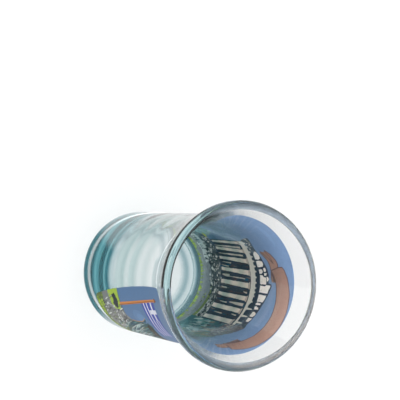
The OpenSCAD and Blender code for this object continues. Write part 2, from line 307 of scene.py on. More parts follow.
def vessel_section():
    """The half section, from the middle of the underside out, up, over the lip and down inside."""
    dome_r = (HOLLOW_R**2 + HOLLOW_H**2) / (2 * HOLLOW_H)
    edge = math.degrees(math.asin(HOLLOW_R / dome_r))
    points = arc((0, HOLLOW_H - dome_r), dome_r, 90, 90 - edge, 16)[:-1]
    points += arc((HOLLOW_R + FOOT_ROUND, FOOT_ROUND), FOOT_ROUND, 250, 270, 3)
    points += arc((BODY_R - HEEL_ROUND, HEEL_ROUND), HEEL_ROUND, -90, 0, 10)
    points += [(BODY_R, HEEL_ROUND + (FLARE_Z - HEEL_ROUND) * i / 24) for i in range(1, 24)]
    # the angles at which the two flares meet the lip's round
    outer = math.degrees(math.atan2(LIP_Z - FLARE_Z, LIP_X - BODY_R - OUTER_FLARE))
    inner = math.degrees(math.atan2(LIP_Z - FLARE_Z, LIP_X - CUP_R - INNER_FLARE))
    points += arc((BODY_R + OUTER_FLARE, FLARE_Z), OUTER_FLARE, 180, outer, 28)
    points += arc((LIP_X, LIP_Z), LIP_R, outer - 180, inner, 20)[1:-1]
    points += arc((CUP_R + INNER_FLARE, FLARE_Z), INNER_FLARE, inner, 180, 28)
    low = BASE_T + FLOOR_ROUND
    for i in range(1, 48):
        z = FLARE_Z - (FLARE_Z - low) * i / 48
        fade = math.sin(math.pi * i / 48)
        points.append((CUP_R + RIPPLE * fade * math.cos(2 * math.pi * (z - RIPPLE_CREST) / RIPPLE_STEP), z))
    points += arc((CUP_R - FLOOR_ROUND, low), FLOOR_ROUND, 0, -90, 14)
    points += [((CUP_R - FLOOR_ROUND) * (1 - i / 6), BASE_T) for i in range(1, 7)]
    return points


def lathe(name, section, turns):
    """A solid of revolution; the section starts and ends on the axis."""
    verts = [(0, 0, section[0][1] * MM)]
    for x, z in section[1:-1]:
        for k in range(turns):
            a = 2 * math.pi * k / turns
            verts.append((x * MM * math.cos(a), x * MM * math.sin(a), z * MM))
    verts.append((0, 0, section[-1][1] * MM))
    rings = len(section) - 2
    faces = []
    for k in range(turns):
        n = (k + 1) % turns
        faces.append((0, 1 + n, 1 + k))
        for r in range(rings - 1):
            a, b = 1 + r * turns, 1 + (r + 1) * turns
            faces.append((a + k, a + n, b + n, b + k))
        last = 1 + (rings - 1) * turns
        faces.append((last + k, last + n, len(verts) - 1))
    mesh = bpy.data.meshes.new(name)
    mesh.from_pydata(verts, [], faces)
    mesh.shade_smooth()
    piece = bpy.data.objects.new(name, mesh)
    bpy.context.collection.objects.link(piece)
    return piece


# ---- Films wrapped on the wall ----
def on_wall(s, z, out):
    """The place of a picture point, out millimetres outside the glass."""
    turn = math.radians(PICTURE_START) + s / BODY_R
    if z <= FLARE_Z:
        radius, height = BODY_R + out, z
    else:
        tilt = math.asin((z - FLARE_Z) / OUTER_FLARE)
        radius = BODY_R + OUTER_FLARE - (OUTER_FLARE - out) * math.cos(tilt)
        height = FLARE_Z + (OUTER_FLARE - out) * math.sin(tilt)
    return (radius * math.cos(turn) * MM, radius * math.sin(turn) * MM, height * MM)


def area(outline):
    pairs = zip(outline, outline[1:] + outline[:1])
    return sum(a[0] * b[1] - b[0] * a[1] for a, b in pairs) / 2


def linear(colour):
    """An sRGB colour, 0 to 255, as linear light."""
    parts = [c / 255 for c in colour]
    return [p / 12.92 if p < 0.04045 else ((p + 0.055) / 1.055) ** 2.4 for p in parts] + [1.0]


def bonded(colour):
    """The tint of an ink's back, which lies on the glass: glass darkens what is bonded to it,
    so this is the colour that still looks as wanted through the wall."""
    wanted = [min(BACK_MOST, share * c) for share, c in zip(BACK_SHARE, colour)]
    return [w / (1 - THROWN_BACK + THROWN_BACK * w) for w in wanted] + [1.0]


def facing(colour):
    """The tint of an ink's face; the palest inks are held back a little."""
    return [FACE_SHARE * c / (1 + FACE_HOLD * c) for c in colour[:3]] + [1.0]


class Film:
    """All the outlines of one printed colour, each a thin closed sheet on the glass."""

    def __init__(self, name, slot, gloss=0.35, mottle=0.08):
        self.name, self.slot, self.gloss, self.mottle = name, slot, gloss, mottle
        self.verts, self.faces, self.tints = [], [], []

    def add(self, outline, colour, coat):
        """Prints an outline. The colour is one tint, or a function of place that gives it."""
        if abs(area(outline)) < SPECK:
            return
        if area(outline) < 0:
            outline = outline[::-1]
        sheet = bmesh.new()
        face = sheet.faces.new([sheet.verts.new((s, z, 0)) for s, z in outline])
        bmesh.ops.triangulate(sheet, faces=[face])
        self.cut(sheet, 0, WRAP_STEP, -math.inf)
        self.cut(sheet, 1, FLARE_STEP, FLARE_Z)
        sheet.verts.index_update()
        flat = [(v.co.x, v.co.y) for v in sheet.verts]
        start, count = len(self.verts), len(flat)
        outer, inner = FILM_OUT + COAT_OUT * coat, -FILM_IN - COAT_IN * coat
        self.verts += [on_wall(s, z, outer) for s, z in flat]
        self.verts += [on_wall(s, z, inner) for s, z in flat]
        tints = [linear(colour(s, z) if callable(colour) else colour) for s, z in flat]
        self.tints += [facing(tint) for tint in tints] + [bonded(tint) for tint in tints]
        for f in sheet.faces:
            corners = [v.index for v in f.verts]
            if f.normal.z < 0:
                corners.reverse()
            self.faces.append([start + c for c in corners])
            self.faces.append([start + count + c for c in reversed(corners)])
        for e in sheet.edges:
            if len(e.link_faces) == 1:
                loop = e.link_loops[0]
                a, b = loop.vert.index, loop.link_loop_next.vert.index
                if loop.face.normal.z < 0:
                    a, b = b, a
                self.faces.append([start + b, start + a, start + count + a, start + count + b])
        sheet.free()

    def line(self, path, width, colour, coat):
        """Prints an even line along a path, run by run, so that it may turn sharply or close."""
        for a, b in zip(path, path[1:]):
            self.add(stroke([a, b], [width, width]), colour, coat)
            self.add(arc(b, width / 2, 0, 315, 7), colour, coat)

    @staticmethod
    def cut(sheet, axis, step, above):
        places = [v.co[axis] for v in sheet.verts]
        low, high = max(min(places), above), max(places)
        normal = (1, 0, 0) if axis == 0 else (0, 1, 0)
        cuts = [k * step for k in range(math.floor(low / step) + 1, math.ceil(high / step))]
        if min(places) < above < high:
            cuts.append(above)
        for place in cuts:
            at = (place, place, 0)
            whole = sheet.verts[:] + sheet.edges[:] + sheet.faces[:]
            bmesh.ops.bisect_plane(sheet, geom=whole, plane_co=at, plane_no=normal, dist=1e-4)

    def build(self):
        mesh = bpy.data.meshes.new(self.name)
        mesh.from_pydata(self.verts, [], self.faces)
        ink = mesh.color_attributes.new("ink", "FLOAT_COLOR", "POINT")
        ink.data.foreach_set("color", [c for tint in self.tints for c in tint])
        mesh.shade_smooth()
        mesh.set_sharp_from_angle(angle=math.radians(40))
        mesh.materials.append(enamel_material(self.slot, self.gloss, self.mottle))
        piece = bpy.data.objects.new("painted_" + self.name, mesh)
        bpy.context.collection.objects.link(piece)
        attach(piece, "root")
        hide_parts(self.name)
        return piece


# ---- Drawing helpers ----
def rough_line(points, rng, rough, step=0.5, closed=True):
    """The same line with its runs broken up and moved about, like a torn or inked edge."""
    ends = points[1:] + points[:1] if closed else points[1:]
    line = []
    for (s0, z0), (s1, z1) in zip(points, ends):
        count = max(1, round(math.hypot(s1 - s0, z1 - z0) / step))
        for i in range(count):
            t = i / count
            move = rough if i else rough * 0.4
            line.append((s0 + (s1 - s0) * t + rng.uniform(-move, move),
                         z0 + (z1 - z0) * t + rng.uniform(-move, move)))
    return line if closed else line + [points[-1]]


def stroke(path, widths):
    """A line of changing width along a path."""
    left, right = [], []
    for i, (s, z) in enumerate(path):
        before, after = path[max(i - 1, 0)], path[min(i + 1, len(path) - 1)]
        ds, dz = after[0] - before[0], after[1] - before[1]
        size = math.hypot(ds, dz) or 1
        place = i / (len(path) - 1) * (len(widths) - 1)
        k = min(int(place), len(widths) - 2)
        half = (widths[k] + (widths[k + 1] - widths[k]) * (place - k)) / 2
        left.append((s - dz / size * half, z + ds / size * half))
        right.append((s + dz / size * half, z - ds / size * half))
    return left + right[::-1]


def blot(s, z, width, height, rng, corners=9, rough=0.3):
    shape = []
    for i in range(corners):
        turn = 2 * math.pi * i / corners
        reach = 1 + rng.uniform(-rough, rough)
        shape.append((s + width / 2 * reach * math.cos(turn), z + height / 2 * reach * math.sin(turn)))
    return shape


def shade(colour, amount):
    return tuple(min(255, max(0, c * amount)) for c in colour)


def left_side(z):
    return SIDE_LEAN * ((PICTURE_TOP - z) / (PICTURE_TOP - PICTURE_BOTTOM)) ** 2 - SIDE_OUT


def right_side(z):
    return PICTURE_L - left_side(z)


def picture_outline(low, high):
    """The picture between two heights, with round corners at its top and bottom."""
    def corner(side, z, radius, start):
        inwards = radius if side is left_side else -radius
        return arc((side(z) + inwards, z), radius, start, start + 90, 8)

    def rise(side, z0, z1):
        return [(side(z), z) for z in [z0 + (z1 - z0) * i / 8 for i in range(9)]]

    start, end = max(low, PICTURE_BOTTOM + CORNER_R), min(high, PICTURE_TOP - TOP_CORNER_R)
    outline = []
    if low <= PICTURE_BOTTOM:
        outline += corner(left_side, start, CORNER_R, 180)
        outline += corner(right_side, start, CORNER_R, 270)[:-1]
    outline += rise(right_side, start, end)
    if high >= PICTURE_TOP:
        outline += corner(right_side, end, TOP_CORNER_R, 0)[1:]
        outline += corner(left_side, end, TOP_CORNER_R, 90)[:-1]
    outline += rise(left_side, end, start)
    return outline[:-1] if low <= PICTURE_BOTTOM else outline


# ---- Inks, as sRGB ----
SKY = (80, 110, 148)
GRASS = (140, 168, 60)
GRASS_DARK = (88, 104, 62)
GRASS_BRIGHT = (150, 182, 60)
TEAL = (74, 120, 122)
TEAL_DARK = (44, 78, 82)
PALE_TEAL = (150, 178, 176)
CRAG_EDGE = (150, 124, 104)
CRAG_DARK = (42, 40, 34)
PATH = (100, 108, 114)
ROCK = (176, 182, 178)
ROCK_DARK = (46, 52, 56)
STONE = (240, 222, 202)
STONE_COOL = (216, 212, 198)
STONE_LIGHT = (230, 228, 218)
INK = (34, 42, 56)
INK_WARM = (54, 44, 50)
INK_TEAL = (18, 58, 82)
RIBBON = (124, 102, 92)
RIBBON_EDGE = (66, 58, 58)
POLE = (196, 118, 62)
FLAG_BLUE = (58, 70, 154)
FLAG_WHITE = (214, 218, 232)
CRAG_INKS = [INK_TEAL, TEAL, TEAL, PALE_TEAL, (30, 44, 46), (70, 84, 56)]
SCRATCH = (196, 208, 204)
SHOULDER_INKS = [(56, 82, 98), (66, 92, 102), (44, 56, 68)]
BROWN_INKS = [(104, 96, 84), (96, 92, 60), (58, 52, 48), (84, 96, 96)]
PALE_INKS = [PALE_TEAL, (112, 148, 150), TEAL]
FOOTHILL_INKS = [TEAL, TEAL_DARK, (60, 104, 110), (84, 100, 84)]
BROW_INKS = [CRAG_EDGE, (104, 96, 70), (70, 74, 60)]
SLOPE_INKS = [TEAL_DARK, PALE_TEAL, (96, 124, 96), (60, 100, 104)]
SCREE, BOULDER, PALE_STONE = (120, 122, 120), (112, 116, 116), (168, 178, 176)
LEDGE, LEDGE_EDGE, RUBBLE = (122, 138, 136), (170, 180, 176), (58, 66, 70)
FLANK = (68, 66, 72)
FLANK_INKS = [(44, 44, 52), (96, 88, 84), (128, 122, 116), (58, 48, 48), (88, 92, 100)]
GAP_PALE = (96, 92, 84)
GAP_INKS = [INK_WARM, INK_WARM, INK_TEAL, shade(INK, 1.25), shade(INK, 0.8), GAP_PALE]


# ---- The picture ----
FLAG_TOP, FLAG_L, FLAG_STRIPE = 56.6, 12.0, 1.12
POLE_FOOT, POLE_TIP = (6.7, 28.5), (3.4, 58.6)
# how many marks each part of it has
RAYS, PATH_STROKES = 9, 150
BLADES, TUFTS, SHRUBS = 420, 190, 26
CRAG_STROKES, SCRATCHES, FACE_STROKES, BROW_STROKES, SLOPE_STROKES = 150, 34, 230, 20, 46
SCREE_STROKES, SCREE_STONES, RUBBLE_STONES, CRACKS = 60, 95, 420, 26
FLANK_STROKES, GAP_STROKES, FLUTES, GABLE_SPECKS = 120, 150, 3, 16


def print_sky(film):
    film.add(picture_outline(20.0, PICTURE_TOP), SKY, 0)
    rng = random.Random(11)
    for i in range(RAYS):  # rays of light over the far slope
        foot = 74.6 + 1.15 * i
        top = foot + (foot - 79.5) * 0.45 + rng.uniform(-0.4, 0.4)
        ray = stroke([(top, rng.uniform(44, 61)), (foot, 28)], [0.15, rng.uniform(0.4, 0.9)])
        film.add(rough_line(ray, rng, 0.05, 2.0), shade(SKY, rng.uniform(1.03, 1.12)), 1)
    for s, z, w, h, pale in [(10.6, 40, 5.6, 9, 1.07), (10.8, 41, 3.6, 6, 1.14), (24, 56, 9, 2.4, 1.06),
                             (29, 53, 7, 1.8, 1.08), (74, 63, 9, 1.6, 1.07), (19, 62, 8, 1.4, 1.06)]:
        film.add(blot(s, z, w, h, rng, 22, 0.08), shade(SKY, pale), 1 if pale < 1.1 else 2)


def print_meadow(film):
    rng = random.Random(12)
    ground = [(left_side(29.3), 29.3), (5.0, 29.6), (8.0, 28.6), (9.5, 26.5), (20, 25), (32, 24),
              (41, 23.6), (72, 24.2), (74, 26.4), (78, 26.8), (right_side(25), 25.0)]
    low = picture_outline(PICTURE_BOTTOM, 20.0)
    top = max(range(len(low)), key=lambda i: (low[i][1], -low[i][0]))
    low = low[top:] + low[:top]
    film.add(low + ground, GRASS_DARK, 1)
    film.add(rough_line([(left_side(29.2), 29.2), (6.4, 28.9), (8.8, 27.0), (8.8, 22.6), (7.2, 21.4),
                         (5.6, 21.0), (left_side(20.8), 20.8), (left_side(25), 25)], rng, 0.12),
             GRASS_BRIGHT, 4)
    for s, z, w, h in [(9.0, 10.8, 6.0, 2.6), (7.4, 13.6, 2.2, 2.4), (73.8, 24.8, 2.4, 1.6)]:
        film.add(blot(s, z, w, h, rng, 14, 0.2), GRASS_BRIGHT, 4)
    for _ in range(BLADES):
        s, z = rng.uniform(3, 88), rng.uniform(11, 24)
        if left_side(z) + 0.6 < s < right_side(z) - 0.6:
            blade = [(s, z - 0.5), (s + rng.uniform(-0.3, 0.3), z + rng.uniform(0.2, 1.0))]
            film.add(stroke(blade, [rng.uniform(0.2, 0.5), 0.08]),
                     shade(rng.choice([GRASS, GRASS_DARK, GRASS_BRIGHT]), rng.uniform(0.7, 1.0)), 2)
    for _ in range(TUFTS):  # the verge along the bottom
        s = rng.uniform(PICTURE_BOTTOM / 2, PICTURE_L - PICTURE_BOTTOM / 2)
        edge = min(s - left_side(PICTURE_BOTTOM), right_side(PICTURE_BOTTOM) - s)
        if edge < 0.6:
            continue
        sink = max(0, CORNER_R - edge)
        z = PICTURE_BOTTOM + 0.1 + CORNER_R - math.sqrt(CORNER_R**2 - sink**2)
        tuft = [(s, z), (s + rng.uniform(-0.5, 0.5), z + rng.uniform(1.6, 3.2))]
        film.add(stroke(tuft, [rng.uniform(0.5, 1.1), 0.12]),
                 shade(rng.choice([GRASS_BRIGHT, GRASS_BRIGHT, GRASS]), rng.uniform(0.6, 0.95)), 4)
    for i in range(SHRUBS):
        s = 41 + 0.5 * i + rng.uniform(-0.3, 0.3)
        z = 13.6 + 0.13 * i + rng.uniform(-0.9, 0.9)
        film.add(blot(s, z, rng.uniform(0.5, 1.2), rng.uniform(0.8, 1.6), rng, 9, 0.3),
                 shade(GRASS_BRIGHT, rng.choice([0.4, 0.5, 0.7, 0.9])), 3)


def print_hill(film):
    rng = random.Random(13)
    crag = [(10.4, 43.4), (11.6, 42.8), (12.6, 43.6), (13.4, 44.8), (14.6, 43.8), (16.0, 43.0),
            (19.0, 41.0), (22.0, 39.4), (25.0, 40.5), (28.0, 45.0), (30.5, 48.2), (33.0, 48.4),
            (36.0, 47.0), (41.9, 46.0), (42.0, 12.0),
            (38.0, 10.0), (22.0, 11.0), (15.0, 22.0), (12.0, 28.4), (12.3, 33.0), (11.9, 38.0),
            (11.4, 41.6)]
    film.add(rough_line(crag, rng, 0.12, 0.8), TEAL_DARK, 2)
    for _ in range(CRAG_STROKES):
        s = rng.uniform(12.2, 34)
        top = min(42.5 - (s - 13) * 0.25, 42) - rng.uniform(0, 20)
        length = rng.uniform(4, 12)
        path = [(s, top), (s + 0.1 * length, top - length / 2), (s + 0.32 * length, top - length)]
        path = [(a, max(b, 12.0)) for a, b in path]
        tone = rng.choice(CRAG_INKS)
        film.add(rough_line(stroke(path, [0.12, rng.uniform(0.25, 0.6), 0.1]), rng, 0.05, 1.0),
                 tone, 3)
    for _ in range(SCRATCHES):  # fine pale scratches down the crag
        s, z = rng.uniform(12.6, 25), rng.uniform(24, 38)
        length = rng.uniform(6, 11)
        film.add(stroke([(s, z), (s + 0.12 * length, z - length / 2), (s + 0.34 * length, z - length)],
                        [0.06, 0.16, 0.06]), SCRATCH, 4)
    # the dark brow of the crag, and the long dark edge that runs down from it
    film.add(rough_line([(12.6, 43.0), (14.5, 43.6), (17.2, 42.2), (22.0, 39.4), (25.0, 40.2),
                         (24.4, 38.0), (21.0, 36.6), (18.0, 37.8), (15.6, 39.0), (13.4, 40.8)],
                        rng, 0.25), CRAG_DARK, 4)
    for _ in range(FACE_STROKES):
        s, z = rng.uniform(27.5, 41.4), rng.uniform(20.0, 47.5)
        if z > 44 + (s - 28) * 1.6:
            continue
        if s > 37.4 and z > 35:
            tone = rng.choice(SHOULDER_INKS)
        elif s > 31.5 and z > 33:
            tone = rng.choice(BROWN_INKS)
        elif s > 35.5 - (z - 24) * 0.1 and z > 24:
            tone = rng.choice(PALE_INKS)
        else:
            tone = rng.choice(FOOTHILL_INKS)
        film.add(rough_line(stroke([(s, z + 1.5), (s - 0.1, z), (s - 0.5, z - rng.uniform(1.5, 4))],
                                   [0.15, rng.uniform(0.3, 0.9), 0.1]), rng, 0.06), tone, 4)
    for _ in range(BROW_STROKES):
        s = rng.uniform(13.5, 24)
        z = 43.4 - (s - 13.5) * 0.42 - rng.uniform(0.2, 2.2)
        film.add(rough_line(stroke([(s, z), (s + 1.4, z - rng.uniform(0.6, 1.4))], [0.3, 0.1]),
                            rng, 0.06), rng.choice(BROW_INKS), 5)
    film.add(rough_line(stroke([(12.2, 31.0), (12.3, 35.0), (11.8, 40.0), (10.4, 43.4)],
                               [0.5, 0.35, 0.35, 0.2]), rng, 0.05), CRAG_EDGE, 5)
    # far slope on the right
    film.add(rough_line([(73.5, 24.0), (73.5, 27.0), (76.0, 33.0), (79.0, 30.0), (83.0, 28.6),
                         (85.4, 27.5), (84.6, 20.0), (74.0, 20.0)], rng, 0.1), shade(TEAL, 1.1), 2)
    for _ in range(SLOPE_STROKES):
        s, z = rng.uniform(74.2, 84), rng.uniform(21.5, 30)
        if z < 31 - abs(s - 76) * 0.45:
            film.add(rough_line(stroke([(s, z), (s + 0.3, z - 1), (s + 0.9, z - rng.uniform(1.2, 2.6))],
                                       [0.12, rng.uniform(0.2, 0.6), 0.1]), rng, 0.05),
                     rng.choice(SLOPE_INKS), 3)


def print_path(film):
    rng = random.Random(14)
    film.add(rough_line([(27.0, 9.4), (31.0, 12.2), (36.0, 14.6), (41.0, 16.4), (47.0, 18.0),
                         (52.0, 18.6), (57.0, 18.4), (61.0, 17.4), (65.0, 15.4), (70.0, 14.0),
                         (76.0, 12.8), (80.0, 9.2)], rng, 0.15), PATH, 3)
    for _ in range(PATH_STROKES):
        s, z = rng.uniform(29, 76), rng.uniform(9.8, 18.0)
        if z > 10 + (s - 28) * 0.45 or z > 18 - (s - 58) * 0.3:
            continue
        tone = shade(PATH, rng.choice([0.65, 0.8, 1.2, 1.4]))
        length = rng.uniform(0.8, 2.6)
        film.add(stroke([(s, z), (s + length * 0.5, z + 0.15), (s + length, z + rng.uniform(-0.3, 0.5))],
                        [0.08, 0.3, 0.08]), tone, 4)


def print_rocks(film):
    rng = random.Random(15)
    # left slope of stones under the flag
    slope = [(3.9, 24.5), (7.5, 28.2), (10.5, 29.2), (12.0, 31.0), (14.5, 25.0), (16.5, 18.0),
             (20.0, 11.0), (12.0, 12.0), (9.0, 13.0), (6.5, 14.5), (5.2, 17.0)]
    film.add(rough_line(slope, rng, 0.2), SCREE, 2)
    film.add(rough_line([(3.4, 26.2), (5.4, 27.6), (7.8, 26.2), (8.6, 24.4), (7.0, 22.8),
                         (5.8, 24.2), (4.2, 23.4)], rng, 0.2), ROCK_DARK, 5)
    film.add(rough_line([(left_side(20.6), 20.6), (7.4, 21.0), (9.8, 20.6), (10.6, 17.0), (8.2, 15.4),
                         (left_side(15.8), 15.8), (left_side(18), 18)], rng, 0.12), BOULDER, 3)
    for _ in range(SCREE_STROKES):
        s, z = rng.uniform(3.0, 13.5), rng.uniform(13.0, 28.0)
        if s < left_side(z) + 0.8:
            continue
        film.add(stroke([(s, z + 1.2), (s + 0.3, z), (s + 0.9, z - rng.uniform(0.6, 2.0))],
                        [0.08, rng.uniform(0.15, 0.4), 0.08]),
                 rng.choice([ROCK_DARK, CRAG_DARK, shade(ROCK, 0.8), shade(ROCK, 1.3)]), 6)
    for _ in range(SCREE_STONES):
        z = rng.uniform(11.5, 28.0)
        left = 4.6 + (26 - z) * 0.11
        s = rng.uniform(left + 0.6, 14.2 + (26 - z) * 0.36)
        if z > 20 and s < 9.5:
            continue
        w, h = rng.uniform(0.5, 1.5), rng.uniform(0.4, 1.1)
        film.add(blot(s, z, w + 0.3, h + 0.3, rng, 8, 0.25), ROCK_DARK, 3)
        film.add(blot(s + 0.06, z + 0.06, w, h, rng, 8, 0.25),
                 shade(ROCK, rng.choice([0.55, 0.7, 0.85, 1.3])), 4)
    # rubble at the temple's foot
    for _ in range(RUBBLE_STONES):
        s = rng.uniform(42, 76.5)
        low, high = (20.4, 24.5) if s < 49 else (17.0 + max(0, 56 - s) * 0.4, 25.2)
        z = rng.uniform(low, high)
        if s > 73 and z > 22:
            continue
        w, h = rng.uniform(0.25, 1.1), rng.uniform(0.3, 1.5)
        dark = rng.random() < 0.5
        tone = shade(ROCK_DARK, rng.uniform(0.6, 1.1)) if dark else shade(ROCK, rng.uniform(0.7, 1.25))
        film.add(blot(s, z, w, h, rng, 7, 0.45), tone, 5 if dark else 4)
    film.add(rough_line([(41.8, 23.9), (49.6, 24.2), (53.5, 23.4), (53.5, 20.6), (41.9, 19.9)],
                        rng, 0.12), LEDGE, 3)
    film.add(rough_line(stroke([(42.2, 19.4), (46, 19.9), (49.8, 20.7)], [0.5, 0.6, 0.4]), rng, 0.1),
             LEDGE_EDGE, 4)
    film.add(rough_line([(49, 24.4), (73.5, 25.6), (75.5, 21), (76, 16.4), (62, 16.8), (54, 19.2),
                         (49.5, 20.8)], rng, 0.3), RUBBLE, 3)
    # pale broken stones in front
    pale = [(61.8, 14.6), (62.4, 16.8), (63.4, 17.7), (64.2, 16.4), (64.6, 17.6), (65.6, 16.8),
            (66.6, 17.9), (67.2, 17.0), (67.9, 19.4), (68.8, 17.4), (70.1, 19.0), (70.6, 17.2),
            (72.4, 18.6), (74.5, 17.6), (75.6, 15.4), (74.0, 13.6), (70.8, 14.4), (69.2, 13.4),
            (66.4, 14.4), (64.0, 13.6)]
    film.add(rough_line(pale, rng, 0.08, 0.7), PALE_STONE, 6)
    for _ in range(CRACKS):
        s = rng.uniform(62.5, 75)
        film.add(stroke([(s, rng.uniform(16.5, 18.5)), (s + 0.2, 15.2), (s - 0.1, rng.uniform(13.6, 14.6))],
                        [0.05, 0.35, 0.1]), ROCK_DARK, 7)


COLUMNS = [  # distance along the wall at the top and at the foot, width at the top and at the foot
    (42.4, 43.0, 1.9, 1.5), (47.0, 47.7, 1.6, 1.5), (51.5, 52.1, 1.5, 1.0), (55.8, 56.3, 1.7, 1.3),
    (60.0, 60.5, 1.6, 1.0), (63.9, 64.4, 1.5, 0.9), (67.5, 68.0, 1.2, 1.0), (70.9, 71.0, 1.1, 0.9),
]
INNER_COLUMNS = [  # distance, width, height of the top and of the foot
    (49.3, 1.0, 44.0, 34.6), (57.9, 0.35, 41.5, 30.0), (65.8, 0.6, 42.8, 26.4), (68.9, 0.7, 43.6, 26.2),
    (53.4, 0.5, 43.8, 41.4), (58.3, 0.9, 31.0, 26.0), (61.5, 0.35, 31.0, 26.0), (45.2, 0.4, 43.5, 40.0),
    (45.0, 0.35, 34.0, 28.5), (49.2, 0.45, 33.0, 28.0), (54.2, 0.4, 30.0, 25.6), (62.7, 0.35, 33.0, 27.0),
]
GABLE_BLOCKS = [
    [(43.8, 51.4), (45.3, 51.4), (45.3, 53.5), (44.6, 53.2), (43.8, 52.8)],
    [(45.8, 51.3), (47.6, 51.6), (47.7, 52.4), (47.2, 53.6), (46.6, 53.6), (45.8, 53.0)],
    [(48.5, 51.6), (49.4, 51.2), (49.7, 52.0), (49.3, 53.2), (48.7, 53.6)],
    [(50.1, 51.1), (50.7, 51.1), (50.8, 53.7), (50.2, 53.5)],
    [(51.2, 51.2), (53.5, 51.1), (53.5, 55.1), (52.6, 54.9), (51.2, 54.2)],
    [(54.2, 51.0), (56.4, 51.1), (56.3, 53.6), (56.8, 54.4), (56.7, 56.5), (55.2, 55.7), (54.2, 55.4)],
    [(56.9, 51.0), (59.7, 50.9), (59.7, 52.4), (59.2, 53.0), (59.1, 54.2), (56.9, 54.2)],
    [(57.9, 54.5), (59.4, 54.5), (59.3, 55.3), (58.1, 55.3)],
    [(60.2, 50.7), (61.5, 50.6), (61.6, 52.4), (60.8, 52.7), (60.2, 52.0)],
    [(59.6, 53.4), (60.4, 53.2), (60.5, 54.2), (59.8, 54.4)],
    [(60.9, 53.3), (62.0, 53.2), (62.2, 54.1), (61.4, 54.5), (60.9, 54.1)],
    [(62.2, 50.2), (64.3, 50.1), (64.5, 52.0), (64.2, 53.4), (63.4, 53.6), (62.5, 53.0)],
    [(64.9, 50.0), (66.6, 50.0), (67.8, 51.3), (67.4, 52.3), (66.2, 53.0), (65.2, 52.8), (64.8, 51.6)],
]
SPIKES = [42.7, 45.5, 48.3, 50.8, 52.7, 54.0, 55.4, 57.1, 58.8, 60.7, 62.4, 64.1, 65.7, 67.4, 69.4, 70.9]


def print_shadow(film):
    rng = random.Random(16)
    front = [(41.8, 24.0), (71.9, 25.6), (71.8, 47.0), (72.6, 48.6), (73.4, 52.6), (72.8, 52.9),
             (70.0, 52.2), (67.8, 52.4), (65.5, 53.6), (62.4, 55.0), (60.0, 55.6), (57.4, 55.4),
             (57.1, 56.9), (56.5, 57.0), (53.5, 55.8), (50.6, 54.8), (47.5, 54.0), (45.2, 53.7),
             (42.8, 53.4), (41.4, 54.0), (40.8, 53.4)]
    film.add(rough_line(front, rng, 0.07, 0.9), INK, 4)
    flank = [(33.0, 43.0), (32.4, 47.0), (34.0, 48.4), (36.4, 50.6), (38.4, 52.2), (40.0, 53.2),
             (41.2, 53.8), (42.0, 52.0), (42.0, 45.0), (40.6, 42.0), (38.0, 40.6), (36.0, 41.4)]
    film.add(rough_line(flank, rng, 0.3), FLANK, 4)
    for _ in range(FLANK_STROKES):
        s, z = rng.uniform(32.6, 41.6), rng.uniform(38.0, 53.4)
        if z > 45 + (s - 31) * 0.85 or z < 46 - (s - 31) * 0.9:
            continue
        tone = rng.choice(FLANK_INKS)
        film.add(rough_line(stroke([(s, z), (s + rng.uniform(-0.2, 0.3), z - rng.uniform(0.6, 2.4))],
                                   [0.2, rng.uniform(0.3, 0.8)]), rng, 0.1), tone, 5)
    # the dark between the columns: plum, slate and deep teal washes
    for _ in range(GAP_STROKES):
        s, z = rng.uniform(42.4, 71.2), rng.uniform(25.5, 45.0)
        tone = rng.choice(GAP_INKS)
        w = rng.uniform(0.25, 0.9) * (0.4 if tone == GAP_PALE else 1)
        film.add(rough_line(stroke([(s, z + 1.5), (s, z), (s + 0.1, z - rng.uniform(1.5, 4))],
                                   [0.15, w, 0.1]), rng, 0.06), tone, 5)


